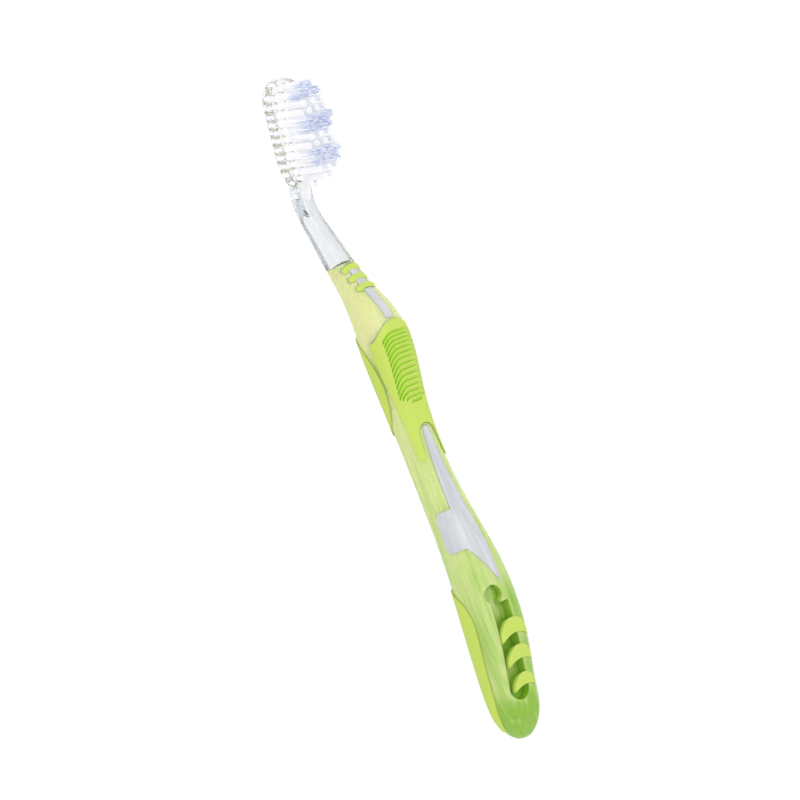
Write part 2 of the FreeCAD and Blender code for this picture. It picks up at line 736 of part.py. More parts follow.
def lower_window():
    """The long front window: narrow at the thumb pad's notch, wide at the lobe, with a pointed tip."""
    sketch = place(add("Sketcher::SketchObject", "window_outline"), x="places.taper_x",
                   z="dims.waist_height")
    top = "places.taper_x - places.waist_x + dims.window_top_from_waist"
    low = "dims.lobe_from_taper + dims.lobe_length / 2"
    tip = "places.palm_x - dims.window_tip_from_palm - places.taper_x"
    half = number("dims.window_top_width / 2")
    corners = [
        Vector(-number(top), -half),
        Vector(-number(top), half),
        Vector(number(low), number("dims.window_far_side")),
        Vector(number(tip), number("dims.window_tip_side")),
        Vector(number(low), -number("dims.window_near_side")),
    ]
    ends = corners[1:] + corners[:1]
    sketch.addGeometry([Part.LineSegment(first, last) for first, last in zip(corners, ends)])
    rules = [("Coincident", side, 2, (side + 1) % 5, 1) for side in range(5)]
    constrain(sketch, rules + [("Symmetric", 0, 1, 0, 2, -1)], (
        (("DistanceX", 0, 1, -1, 1), top),
        (("DistanceY", 0, 1, 0, 2), "dims.window_top_width"),
        (("DistanceX", -1, 1, 1, 2), low),
        (("DistanceY", -1, 1, 1, 2), "dims.window_far_side"),
        (("DistanceX", -1, 1, 2, 2), tip),
        (("DistanceY", -1, 1, 2, 2), "dims.window_tip_side"),
        (("DistanceX", -1, 1, 3, 2), low),
        (("DistanceY", 3, 2, -1, 1), "dims.window_near_side"),
    ))
    return prism("lower_window", sketch, "2 * dims.palm_depth")


def lobe():
    """The side window: the long window's step down the near side of the handle."""
    sketch = place(add("Sketcher::SketchObject", "lobe_outline"), turned=ALONG,
                   x="places.taper_x + dims.lobe_from_taper", y="-dims.lobe_inner_side",
                   z="dims.taper_height + dims.lobe_rise + dims.taper_depth / 2")
    rounded_rectangle(sketch, "dims.lobe_length", "dims.taper_depth", "dims.lobe_corner")
    return prism("lobe", sketch, "dims.palm_width")


def well(crescents):
    """The spoon and the trough in the front of the tail, off its middle, between the crescents."""
    height = "2 * dims.well_depth + dims.palm_depth"
    spoon = cylinder("spoon", "dims.spoon_radius", height, x="-dims.spoon_from_palm",
                     y="-dims.spoon_side")
    trough = box("trough", "dims.well_length - dims.well_width / 2", "dims.well_width", height,
                 x="-dims.well_from_palm", y="-dims.well_width / 2")
    end = cylinder("trough_end", "dims.well_width / 2", height,
                   x="dims.well_length - dims.well_from_palm - dims.well_width / 2")
    whole = place(fuse("well_whole", spoon, trough, end), axis=SIDEWAYS, angle="dims.well_lean",
                  x="places.palm_x", y="-dims.well_side",
                  z="dims.palm_height + dims.palm_depth / 2 - dims.well_depth")
    return cut("well", whole, group("crescents_over_well", crescents))


def gate_mark():
    """The shallow oval dimple on the near side of the tail's dome."""
    mark = bind(add("Part::Ellipsoid", "gate_mark"), Radius1="dims.mark_depth",
                Radius2="dims.mark_length / 2", Radius3="dims.mark_width / 2")
    return place(mark, x="places.half_length - dims.mark_from_tail", y="-dims.mark_side",
                 z="places.heel_height + dims.mark_rise", axis=MARK_LINE, angle="dims.mark_turn")


def pads(floor, bands, crescents):
    """The soft-touch pieces, each from its prism between its seat and the crown. Returns the seats."""
    crown = crown_form()
    seat_floor = seat_form()
    prisms = {f"neck_band_{band}": shape for band, shape in enumerate(bands, 1)}
    prisms.update({f"tail_pad_{pad}": shape for pad, shape in enumerate(crescents, 1)})
    prisms["thumb_pad"] = thumb_pad_prism()
    prisms["upper_back_grip"] = upper_grip_prism()
    prisms["lower_back_grip"] = lower_grip_prism()
    trims = {"thumb_pad": rib_slots(), "lower_back_grip": floor}
    seats = []
    for name, shape in prisms.items():
        seat = cut(f"{name}_seat", shape, seat_floor)
        pad = common(f"{name}_blank", crown, seat)
        if name in trims:
            pad = cut(f"{name}_trimmed", pad, trims[name])
        node(name, pad)
        seats.append(seat)
    return seats


def green_body(outer, spine, windows, crescents, seats):
    """The translucent second shot round the spine, with its windows, well and pad seats."""
    tail_side = side_of_collar("tail_side", "places.collar_x", "places.half_length")
    shell = cut("green_shell", common("green_blank", outer, tail_side), spine)
    openings = fuse("openings", windows, well(crescents), gate_mark(), *seats)
    return node("green_body", cut("green", shell, openings))


def check_and_write():
    """Stop on any failed object or bad shape, then write one file for each sub-part."""
    doc.recompute()
    failed = [item.Name for item in doc.Objects if {"Invalid", "Error"} & set(item.State)]
    if failed:
        raise RuntimeError(f"failed objects: {failed}")
    for name, item in nodes.items():
        expected = sum(ROW_TUFTS) if name == "tuft_anchors" else 1
        if item.Shape.isNull() or not item.Shape.isValid() or len(item.Shape.Solids) != expected:
            raise RuntimeError(f"bad shape: {name}, {len(item.Shape.Solids)} solids")
    os.makedirs("parts", exist_ok=True)
    for name, item in nodes.items():
        item.Shape.exportStep(f"parts/{name}.step")
        print(f"{name}: {item.Shape.Volume:.1f} mm3")


def main():
    fill_sheet()
    lay_out()
    outer = outer_form()
    spine = spine_form()
    floor = below_rest()
    bands = band_prisms()
    crescents = crescent_prisms()
    windows = fuse("windows", upper_strip(bands), lower_window(), lobe())
    clear_core(outer, spine, windows, tufts_and_anchors(), floor)
    seats = pads(floor, bands, crescents)
    green_body(outer, spine, windows, crescents, seats)
    check_and_write()


main()
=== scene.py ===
# %% [markdown]
# # A manual toothbrush in clear and lime plastic
# The brush is two hard mouldings and some soft ones. A crystal-clear core is the head, the neck and a
# spine inside the handle. A translucent lime body is moulded round that spine, and opaque soft-touch pads
# sit in seats in the lime. The head carries twelve rows of nylon tufts, and a small brass plate holds
# each tuft. The solids come from the CAD model. This script gives them their finishes, swaps the plain
# rods for real filaments, and sets the light and the camera.

# %% Load the solids
import math

import bmesh
import bpy
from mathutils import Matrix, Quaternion, Vector
from mathutils.bvhtree import BVHTree


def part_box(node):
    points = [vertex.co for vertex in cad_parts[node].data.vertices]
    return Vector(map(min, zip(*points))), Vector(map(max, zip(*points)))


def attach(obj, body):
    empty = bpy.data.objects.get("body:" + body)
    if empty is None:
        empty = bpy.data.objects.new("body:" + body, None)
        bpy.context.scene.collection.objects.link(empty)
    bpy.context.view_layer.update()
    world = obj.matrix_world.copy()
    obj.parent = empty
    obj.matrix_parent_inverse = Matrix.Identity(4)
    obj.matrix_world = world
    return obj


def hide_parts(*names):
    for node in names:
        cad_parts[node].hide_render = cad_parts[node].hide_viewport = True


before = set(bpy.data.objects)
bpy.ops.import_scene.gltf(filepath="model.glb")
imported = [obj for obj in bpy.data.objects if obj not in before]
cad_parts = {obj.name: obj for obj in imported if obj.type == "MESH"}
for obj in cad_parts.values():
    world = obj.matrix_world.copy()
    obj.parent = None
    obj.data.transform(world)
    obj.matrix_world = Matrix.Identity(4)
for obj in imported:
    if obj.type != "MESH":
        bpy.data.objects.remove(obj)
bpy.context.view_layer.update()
MM = 0.001

# %% [markdown]
# ## Camera
# The picture shows the brush from its near side, from 48 degrees above the table, with the head at the
# top left. The camera is a long lens, so the brush keeps nearly parallel sides. Its right and up
# directions are written out from two angles, the height above the table and the slant of the brush in the
# picture.

# %% Camera
PIXELS = 800
MM_PER_PIXEL = 0.2696
LOOK_DOWN = math.radians(48.0)
SLANT = math.radians(21.9)
DISTANCE = 1.4
TARGET = Vector((-2.24, -1.64, 10.28)) * MM
SENSOR = 36.0

along = Vector((1, 0, 0))
rise = Vector((0, math.sin(LOOK_DOWN), math.cos(LOOK_DOWN)))
back = along.cross(rise)
right = along * math.sin(SLANT) + rise * math.cos(SLANT)
up = back.cross(right)

camera = bpy.data.objects.new("camera", bpy.data.cameras.new("camera"))
bpy.context.scene.collection.objects.link(camera)
camera.data.sensor_width = SENSOR
camera.data.lens = SENSOR * DISTANCE / (PIXELS * MM_PER_PIXEL * MM)
camera.location = TARGET + back * DISTANCE
camera.rotation_mode = "QUATERNION"
camera.rotation_quaternion = (-back).to_track_quat("-Z", "Y")
turn = camera.rotation_quaternion.to_matrix()
roll = math.atan2(up.dot(turn.col[0]), up.dot(turn.col[1]))
camera.rotation_quaternion.rotate(Quaternion(back, -roll))
bpy.context.scene.camera = camera
print("lens in mm:", round(camera.data.lens, 1))

# %% [markdown]
# ## Helpers for nodes and colours
# Every material and every Geometry Nodes tree below is built by one function that adds a node, sets what
# it is given and links the rest. Colours are written as sRGB hex values, as a designer would note them,
# and turned into the linear values that the renderer works in.

# %% Helpers
def add_node(tree, kind, inputs=(), **settings):
    """Add a node. Inputs maps a socket's name or number to a value, or to an output that is linked to it."""
    node = tree.nodes.new(kind)
    for name, setting in settings.items():
        setattr(node, name, setting)
    for key, source in dict(inputs).items():
        if isinstance(source, bpy.types.NodeSocket):
            tree.links.new(source, node.inputs[key])
        else:
            node.inputs[key].default_value = source
    return node


def linear(hex_colour):
    """The linear colour of an sRGB hex value, by the curve of the sRGB standard."""
    shares = [int(hex_colour[place:place + 2], 16) / 255 for place in (0, 2, 4)]
    return [s / 12.92 if s <= 0.04045 else ((s + 0.055) / 1.055) ** 2.4 for s in shares] + [1.0]


def new_material(name):
    """An empty material: the material, its node tree and its output node."""
    material = bpy.data.materials.new(name)
    material.use_nodes = True
    material.node_tree.nodes.clear()
    return material, material.node_tree, add_node(material.node_tree, "ShaderNodeOutputMaterial")


print("half grey is linear", round(linear("808080")[0], 3))

# %% [markdown]
# ## Table
# The picture is a pack shot on white. A lamp strong enough to turn a sheet of paper white would bleach
# the brush as well. So the table shows mostly a white of its own to the camera, and to rays that come off
# a gloss or through the clear plastic, and keeps a small share of plain paper that takes a faint shadow.
# All other rays meet plain paper.

# %% Table
TABLE_SIZE = 3.0
TABLE_DROP = 0.06 * MM
WHITE_SHARE = 0.92
WHITE_STRENGTH = 1.06

# Matt paper
white_paper, tree, output = new_material("white_paper")
path = add_node(tree, "ShaderNodeLightPath").outputs
seen = add_node(tree, "ShaderNodeMath", {0: path["Is Camera Ray"], 1: path["Is Transmission Ray"]},
                operation="MAXIMUM")
seen = add_node(tree, "ShaderNodeMath", {0: seen.outputs[0], 1: path["Is Glossy Ray"]}, operation="MAXIMUM")
share = add_node(tree, "ShaderNodeMath", {0: seen.outputs[0], 1: WHITE_SHARE}, operation="MULTIPLY")
matt = add_node(tree, "ShaderNodeBsdfDiffuse", {"Color": linear("F2F2F2")})
glow = add_node(tree, "ShaderNodeEmission", {"Color": linear("FFFFFF"), "Strength": WHITE_STRENGTH})
mixed = add_node(tree, "ShaderNodeMixShader", {0: share.outputs[0], 1: matt.outputs[0], 2: glow.outputs[0]})
tree.links.new(mixed.outputs[0], output.inputs["Surface"])

half = TABLE_SIZE / 2
corners = [(x, y, -TABLE_DROP) for x, y in ((-half, -half), (half, -half), (half, half), (-half, half))]
mesh = bpy.data.meshes.new("table")
mesh.from_pydata(corners, [], [(0, 1, 2, 3)])
mesh.materials.append(white_paper)
table = bpy.data.objects.new("table", mesh)
bpy.context.scene.collection.objects.link(table)
print("side of the table in m:", TABLE_SIZE)

# %% [markdown]
# ## Light
# A white world stands for a studio with pale walls, so that shadows stay soft. A large lamp overhead
# models the form, and a second one lightens the near side. Light has to pass many walls of clear plastic,
# so its paths are followed through more bounces than usual.

# %% Light
world = bpy.data.worlds.new("studio")
bpy.context.scene.world = world
world.use_nodes = True
world.node_tree.nodes.clear()
sky = add_node(world.node_tree, "ShaderNodeBackground", {"Color": linear("FFFFFF"), "Strength": 1.0})
add_node(world.node_tree, "ShaderNodeOutputWorld", {"Surface": sky.outputs[0]})

LAMPS = (
    # name, place in metres, size in metres, watts
    ("overhead_softbox", (-0.35, -0.15, 0.85), 0.7, 1.8),
    ("near_softbox", (0.25, -0.9, 0.45), 0.5, 0.8),
)
for name, place, size, watts in LAMPS:
    lamp = bpy.data.lights.new(name, "AREA")
    lamp.shape = "SQUARE"
    lamp.size = size
    lamp.energy = watts
    holder = bpy.data.objects.new(name, lamp)
    bpy.context.scene.collection.objects.link(holder)
    holder.location = place
    holder.rotation_mode = "QUATERNION"
    holder.rotation_quaternion = (-Vector(place)).to_track_quat("-Z", "Y")
bpy.context.scene.view_settings.view_transform = "Standard"
bpy.context.scene.cycles.max_bounces = 24
bpy.context.scene.cycles.transmission_bounces = 24
bpy.context.scene.cycles.glossy_bounces = 16
bpy.context.scene.cycles.diffuse_bounces = 16
print("lamps:", len(LAMPS))

# %% [markdown]
# ## Clear plastic
# The core is a polished copolyester, injection moulded in one piece. It bends light like glass and is
# hardly tinted. A clear shader with a volume that absorbs a little gives both, because thick places then
# look greyer by themselves. The melt leaves faint streaks along the moulding, which a stretched noise
# stands for.

# %% Clear plastic
STREAK_ACROSS = 1.4 * MM
STREAK_ALONG = 30 * MM
CLEAR_STREAK_DEPTH = 0.02 * MM


def streaks(tree):
    """A noise stretched along the handle, at the scale of the flow marks in a moulding."""
    place = add_node(tree, "ShaderNodeTexCoord").outputs["Object"]
    stretched = add_node(tree, "ShaderNodeMapping", {
        "Vector": place, "Scale": (1 / STREAK_ALONG, 1 / STREAK_ACROSS, 1 / STREAK_ACROSS)})
    noise = add_node(tree, "ShaderNodeTexNoise", {
        "Vector": stretched.outputs[0], "Scale": 1.0, "Detail": 2.0})
    return noise.outputs["Fac"]


# Polished copolyester: glassy, with a faint cool tint in thick places
clear_copolyester, tree, output = new_material("clear_copolyester")
flow = add_node(tree, "ShaderNodeBump", {
    "Height": streaks(tree), "Strength": 0.3, "Distance": CLEAR_STREAK_DEPTH})
skin = add_node(tree, "ShaderNodeBsdfPrincipled", {
    "Base Color": linear("FFFFFF"), "Roughness": 0.03, "IOR": 1.57, "Transmission Weight": 1.0,
    "Normal": flow.outputs[0]})
depth = add_node(tree, "ShaderNodeVolumeAbsorption", {"Color": linear("CCD4DC"), "Density": 60.0})
tree.links.new(skin.outputs[0], output.inputs["Surface"])
tree.links.new(depth.outputs[0], output.inputs["Volume"])
print("clear plastic:", len(tree.nodes), "nodes")

# %% [markdown]
# ## Lime plastic
# The body is the same resin with a dye, so its colour gets deeper with the depth of plastic that light
# has to pass. A volume alone could give that, but the opaque pads lie right behind the lime, light dies
# between the two, and the handle turns out far too dark. So most of the light scatters just under the
# surface, and the shader works out the depth of the dye. It measures how much plastic lies behind a
# point, and adds painted shade where the point is hemmed in by its own surface. The walls also get
# thicker from the collar to the palm. Painted shade also deepens the flanks towards the table, where
# they turn under, and gives sharp rims a deeper green.

# %% Lime plastic
LIME_STREAK_DEPTH = 0.06 * MM
WALL_SIGHT = 4 * MM
# Where the dye changes along the brush, where painted shade comes in over the table, and by how much
COLLAR_TO_PALM = (-42 * MM, 45 * MM)
COLLAR_PALER = 0.4
PALM_DEEPER = 0.28
UNDERSIDE_SHADE_HEIGHTS = (8 * MM, 3 * MM)
UNDERSIDE_SHADE = 0.25
DYE_AND_SHADE_RANGE = (-0.5, 0.7)
THIN_RIM_SHADE = 0.06

# Dyed copolyester, moulded over the core: translucent, with a softer gloss
lime_copolyester, tree, output = new_material("lime_copolyester")
marks = streaks(tree)
flow = add_node(tree, "ShaderNodeBump", {"Height": marks, "Strength": 0.5, "Distance": LIME_STREAK_DEPTH})
wall = add_node(tree, "ShaderNodeAmbientOcclusion", {"Distance": WALL_SIGHT}, inside=True, only_local=True,
                samples=16).outputs["AO"]
# Painted shade: the lime gets a deeper green where the point is hemmed in by its own surface
hollow_shade = add_node(tree, "ShaderNodeAmbientOcclusion", {"Distance": WALL_SIGHT}, only_local=True,
                    samples=8).outputs["AO"]
place = add_node(tree, "ShaderNodeTexCoord").outputs["Object"]
axes = add_node(tree, "ShaderNodeSeparateXYZ", {"Vector": place}).outputs
palmward = add_node(tree, "ShaderNodeMapRange", {
    "Value": axes["X"], "From Min": COLLAR_TO_PALM[0], "From Max": COLLAR_TO_PALM[1],
    "To Min": -COLLAR_PALER, "To Max": PALM_DEEPER})
# Painted shade: a deeper green towards the table, where the flanks turn under
underside_shade = add_node(tree, "ShaderNodeMapRange", {
    "Value": axes["Z"], "From Min": UNDERSIDE_SHADE_HEIGHTS[0], "From Max": UNDERSIDE_SHADE_HEIGHTS[1], "To Max": UNDERSIDE_SHADE})
# The dye's depth, with the painted shade of hollows and of the underside added in
dye = add_node(tree, "ShaderNodeMath", {0: wall, 1: hollow_shade}, operation="SUBTRACT")
for deeper in (marks, palmward.outputs[0], underside_shade.outputs[0]):
    dye = add_node(tree, "ShaderNodeMath", {0: dye.outputs[0], 1: deeper}, operation="ADD")
dye = add_node(tree, "ShaderNodeMapRange", {
    "Value": dye.outputs[0], "From Min": DYE_AND_SHADE_RANGE[0], "From Max": DYE_AND_SHADE_RANGE[1]})
tone = add_node(tree, "ShaderNodeValToRGB", {"Fac": dye.outputs[0]})
tone.color_ramp.elements[0].color = linear("F4FCB4")
tone.color_ramp.elements[1].color = linear("9CCC3C")

# Painted shade: sharp rims, which have next to nothing behind them, get a deeper green
edge = add_node(tree, "ShaderNodeValToRGB", {"Fac": wall})
edge.color_ramp.elements[0].color = linear("90C030")
edge.color_ramp.elements[1].position = THIN_RIM_SHADE
edge.color_ramp.elements[1].color = linear("FFFFFF")
tint = add_node(tree, "ShaderNodeMix", {
    "Factor": 1.0, "A": tone.outputs["Color"], "B": edge.outputs["Color"]},
    data_type="RGBA", blend_type="MULTIPLY")
skin = add_node(tree, "ShaderNodeBsdfPrincipled", {
    "Base Color": tint.outputs["Result"], "Roughness": 0.1, "IOR": 1.53, "Transmission Weight": 0.25,
    "Subsurface Weight": 1.0, "Subsurface Radius": (1.0, 1.0, 0.4), "Subsurface Scale": 1 * MM,
    "Normal": flow.outputs[0]})
depth = add_node(tree, "ShaderNodeVolumeAbsorption", {"Color": linear("D4EA50"), "Density": 20.0})
tree.links.new(skin.outputs[0], output.inputs["Surface"])
tree.links.new(depth.outputs[0], output.inputs["Volume"])
print("lime plastic:", len(tree.nodes), "nodes")

# %% [markdown]
# ## Satin and frosted fronts
# The front flat of the core has an etched finish. Where it lies in the windows it hides what is behind
# it, and on the bare neck it is only frosted. Both are painted a cool grey, as painted shade for the
# shaded table seen through clear plastic. One function makes both, because they differ only in their
# tones, their roughness and how clear they are.

# %% Satin and frost
STREAK_TONES = (0.3, 0.7)


def etched(name, dark, light, roughness, clear):
    """Etched copolyester: it scatters the light, with faint streaks along the handle between two grey tones
    of painted shade.
    """
    material, tree, output = new_material(name)
    tone = add_node(tree, "ShaderNodeValToRGB", {"Fac": streaks(tree)})
    for element, position, colour in zip(tone.color_ramp.elements, STREAK_TONES, (dark, light)):
        element.position = position
        element.color = linear(colour)
    skin = add_node(tree, "ShaderNodeBsdfPrincipled", {
        "Base Color": tone.outputs["Color"], "Roughness": roughness, "IOR": 1.57,
        "Transmission Weight": clear})
    tree.links.new(skin.outputs[0], output.inputs["Surface"])
    return material


# Both greys are painted shade, for the shaded table seen through the clear plastic
satin_and_shade_copolyester = etched("satin_and_shade_copolyester", "C6CAD1", "D8DBE0", roughness=0.3, clear=0.15)
frosted_and_shade_copolyester = etched("frosted_and_shade_copolyester", "BEC3CC", "D6DAE0", roughness=0.12, clear=1.0)
print("etched:", satin_and_shade_copolyester.name, "and", frosted_and_shade_copolyester.name)

# %% [markdown]
# ## Soft pads
# The pads are a rubbery elastomer, moulded in a lightly textured tool. It is a little translucent, so
# light that gets into a groove comes out a stronger green. The shader paints that in: it looks round each
# point for a millimetre or so and paints a stronger, deeper green where the point is hemmed in by its
# own surface, as painted shade and bounce light in the grooves.

# %% Elastomer
# The real texture is finer, and is drawn about as coarse as a pixel of the picture so that it shows
GRAIN = 0.25 * MM
GRAIN_DEPTH = 0.02 * MM
GROOVE_SIGHT = 1.2 * MM
GROOVE_SHADE_TONES = (0.4, 0.8)

# Thermoplastic elastomer: satin, opaque, with a fine grain
soft_elastomer, tree, output = new_material("soft_elastomer")
place = add_node(tree, "ShaderNodeTexCoord").outputs["Object"]
grain = add_node(tree, "ShaderNodeTexNoise", {"Vector": place, "Scale": 1 / GRAIN, "Detail": 2.0})
bump = add_node(tree, "ShaderNodeBump", {
    "Height": grain.outputs["Fac"], "Strength": 0.25, "Distance": GRAIN_DEPTH})
# Painted shade and bounce light: grooves and creases get a stronger green
hollow_shade = add_node(tree, "ShaderNodeAmbientOcclusion", {"Distance": GROOVE_SIGHT}, only_local=True,
                    samples=8)
tone = add_node(tree, "ShaderNodeValToRGB", {"Fac": hollow_shade.outputs["AO"]})
for element, position, colour in zip(tone.color_ramp.elements, GROOVE_SHADE_TONES, ("B0F000", "BCD256")):
    element.position = position
    element.color = linear(colour)
skin = add_node(tree, "ShaderNodeBsdfPrincipled", {
    "Base Color": tone.outputs["Color"], "Roughness": 0.5, "IOR": 1.5, "Normal": bump.outputs[0]})
tree.links.new(skin.outputs[0], output.inputs["Surface"])
print("elastomer:", len(tree.nodes), "nodes")

# %% [markdown]
# ## Brass
# The plates that hold the tufts show as pale golden specks in the clear head. They are stamped from
# rolled strip, so their gloss changes a little from place to place. A noise on the roughness is enough
# for that.

# %% Brass
# Coarser than real rolling marks, as a plate is only a few pixels wide in the picture
ROLLING_MARK = 0.3 * MM

# Stamped brass: pale, half matt, with rolling marks
stamped_brass, tree, output = new_material("stamped_brass")
place = add_node(tree, "ShaderNodeTexCoord").outputs["Object"]
marks = add_node(tree, "ShaderNodeTexNoise", {"Vector": place, "Scale": 1 / ROLLING_MARK})
gloss = add_node(tree, "ShaderNodeMapRange", {"Value": marks.outputs["Fac"], "To Min": 0.35, "To Max": 0.6})
skin = add_node(tree, "ShaderNodeBsdfPrincipled", {
    "Base Color": linear("F2E6CA"), "Metallic": 1.0, "Roughness": gloss.outputs[0]})
tree.links.new(skin.outputs[0], output.inputs["Surface"])
print("brass:", len(tree.nodes), "nodes")

# %% [markdown]
# ## Copies of solids
# In the real brush the lime and the clear plastic are one piece of material where they meet. Two surfaces
# in the same place would leave a film of air between them, which flashes like a mirror. So the clear
# moulding and the pads are copies of their solids, grown by a few hundredths of a millimetre into the
# lime. A copy keeps the smooth shading of the solid, because a clear surface shows every flat facet.

# %% Copies of solids
GROW = 0.03 * MM
WELD = 0.0005 * MM


def grown_copy(name, node, score=None):
    """A copy of a CAD solid: one closed skin, grown outwards, with the solid's own shading."""
    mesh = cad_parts[node].data.copy()
    mesh.name = name
    mesh.materials.clear()
    shading = [tuple(corner.vector) for corner in mesh.corner_normals]
    kept = mesh.attributes.new("shading", "FLOAT_VECTOR", "CORNER")
    kept.data.foreach_set("vector", [number for vector in shading for number in vector])
    skin = bmesh.new()
    skin.from_mesh(mesh)
    bmesh.ops.remove_doubles(skin, verts=skin.verts, dist=WELD)
    if score:
        score(skin)
    skin.normal_update()
    moves = [vertex.normal * GROW for vertex in skin.verts]
    for vertex, move in zip(skin.verts, moves):
        vertex.co += move
    skin.to_mesh(mesh)
    skin.free()
    for face in mesh.polygons:
        face.use_smooth = True
    mesh.normals_split_custom_set([tuple(corner.vector) for corner in mesh.attributes["shading"].data])
    mesh.attributes.remove(mesh.attributes["shading"])
    piece = bpy.data.objects.new(name, mesh)
    bpy.context.scene.collection.objects.link(piece)
    print(name, len(mesh.polygons), "faces")
    return piece


# %% [markdown]
# ## Pads
# The neck bands, the thumb pad, the back grips and the tail pads are all the same soft material. Their
# ribs and round edges are in the solids, so each needs only its grown copy and the elastomer.

# %% Pads
SOFT_NODES = [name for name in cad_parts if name.startswith(("neck_band", "tail_pad"))]
SOFT_NODES += ["thumb_pad", "upper_back_grip", "lower_back_grip"]
for node in SOFT_NODES:
    piece = grown_copy(f"{node}_skin", node)
    piece.data.materials.append(soft_elastomer)
    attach(piece, "root")
    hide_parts(node)

# %% [markdown]
# ## Clear core
# The core is one moulding with three finishes: polished, satin in the windows and frosted on the front of
# the neck. A finish could be masked in one shader, but an edge between two finishes is crisp only along
# an edge of the mesh. So the neck is scored along both sides of its flat, which widens towards the
# handle, and every face gets the finish of its place. A face lies in a window if nothing covers it.

# %% Score of the neck
# Where the bare neck starts and ends along the brush, and half the width of its flat at these two places
NECK = (-62 * MM, -41.9 * MM)
NECK_FLAT = (1.4 * MM, 2.6 * MM)
NECK_SPREAD = (NECK_FLAT[1] - NECK_FLAT[0]) / (NECK[1] - NECK[0])
SCORE_REACH = 0.001 * MM


def score_neck(skin):
    """Cut the faces of the neck along the two edges of its front flat."""
    for side in (1, -1):
        neck = [face for face in skin.faces if NECK[0] < face.calc_center_median().x < NECK[1]]
        parts = neck + list({edge for face in neck for edge in face.edges})
        parts += list({vertex for face in neck for vertex in face.verts})
        bmesh.ops.bisect_plane(skin, geom=parts, plane_co=(NECK[0], side * NECK_FLAT[0], 0),
                               plane_no=(-NECK_SPREAD, side, 0), dist=SCORE_REACH)


print("each side of the flat widens by", round(NECK_SPREAD, 3), "mm in a mm")

# %% Clear core
POLISHED, SATIN, FROSTED = range(3)
FRONT_FACING = 0.3

core = grown_copy("clear_core_skin", "clear_core", score_neck)
for material in (clear_copolyester, satin_and_shade_copolyester, frosted_and_shade_copolyester):
    core.data.materials.append(material)
covers = []
for node in ["green_body"] + SOFT_NODES:
    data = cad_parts[node].data
    covers.append(BVHTree.FromPolygons([vertex.co for vertex in data.vertices],
                                       [face.vertices[:] for face in data.polygons]))
for face in core.data.polygons:
    middle = face.center
    if middle.x > NECK[1]:
        start = middle + face.normal * 2 * GROW
        if not any(cover.ray_cast(start, face.normal)[0] for cover in covers):
            face.material_index = SATIN
    elif middle.x > NECK[0] and face.normal.z > FRONT_FACING:
        if abs(middle.y) < NECK_FLAT[0] + NECK_SPREAD * (middle.x - NECK[0]):
            face.material_index = FROSTED
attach(core, "root")
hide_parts("clear_core")
finishes = [face.material_index for face in core.data.polygons]
counts = [finishes.count(finish) for finish in (POLISHED, SATIN, FROSTED)]
print("polished, satin and frosted faces:", counts)

# %% [markdown]
# ## Lime body and brass plates
# These two keep the meshes of the CAD model, because their shapes are right as they are. Only their
# finishes are set.

# %% Lime body and brass plates
for node, material in (("green_body", lime_copolyester), ("tuft_anchors", stamped_brass)):
    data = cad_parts[node].data
    data.materials.clear()
    data.materials.append(material)
    print(node, "is", material.name)

# %% [markdown]
# ## Nylon
# The filaments are drawn nylon: every second pair of rows is white, and the pairs between are dyed blue
# towards their tips. Clear nylon hands light on from strand to strand, far more often than a path is
# followed, and a see-through shader turned the tufts dark. So the strands are opaque, and a weak glow
# stands for that light, to make the tufts as white as they are to the eye. The roots in the clear head
# get more of it, because the head leads light to them from all sides.

# %% Nylon
NYLON_GLOW = 0.1
ROOT_GLOW = 0.45
# Between these shares of a filament's height it leaves the head
ROOT_END = (0.2, 0.35)
STRAND_CONTRAST = 0.6
FULL_DYE = 1.2


def nylon(name, shank, tip, start):
    """Drawn nylon: satin, with a dye that gets deeper from the shank to the tip and differs by strand."""
    material, tree, output = new_material(name)
    height = add_node(tree, "ShaderNodeAttribute", attribute_name="height").outputs["Fac"]
    tone = add_node(tree, "ShaderNodeAttribute", attribute_name="tone").outputs["Fac"]
    mixed = add_node(tree, "ShaderNodeMath", {0: tone, 1: STRAND_CONTRAST, 2: height},
                     operation="MULTIPLY_ADD")
    shade = add_node(tree, "ShaderNodeMapRange", {
        "Value": mixed.outputs[0], "From Min": start, "From Max": FULL_DYE})
    ramp = add_node(tree, "ShaderNodeValToRGB", {"Fac": shade.outputs[0]})
    ramp.color_ramp.elements[0].color = linear(shank)
    ramp.color_ramp.elements[1].color = linear(tip)
    glow = add_node(tree, "ShaderNodeMapRange", {
        "Value": height, "From Min": ROOT_END[0], "From Max": ROOT_END[1], "To Min": ROOT_GLOW,
        "To Max": NYLON_GLOW})
    skin = add_node(tree, "ShaderNodeBsdfPrincipled", {
        "Base Color": ramp.outputs["Color"], "Roughness": 0.35, "IOR": 1.53,
        "Emission Color": ramp.outputs["Color"], "Emission Strength": glow.outputs[0]})
    tree.links.new(skin.outputs[0], output.inputs["Surface"])
    return material


blue_nylon = nylon("blue_nylon", "FAFAFC", "BECAE8", start=0.75)
white_nylon = nylon("white_nylon", "FAFAFB", "F3F4F8", start=0.6)
print("materials:", len(bpy.data.materials))

# %% [markdown]
# ## Filament tree
# A tuft is about forty filaments, folded over a brass plate and driven into a hole. Forty times
# thirty-eight strands are far too many to place by hand, so Geometry Nodes make them. The tree gets one
# point at the bottom of each hole. Its inputs are the sizes of a tuft, so that the crimped blue and the
# straight white tufts come from the same tree.

# %% Inputs of the filament tree
tree = bpy.data.node_groups.new("filaments", "GeometryNodeTree")
tree.is_modifier = True
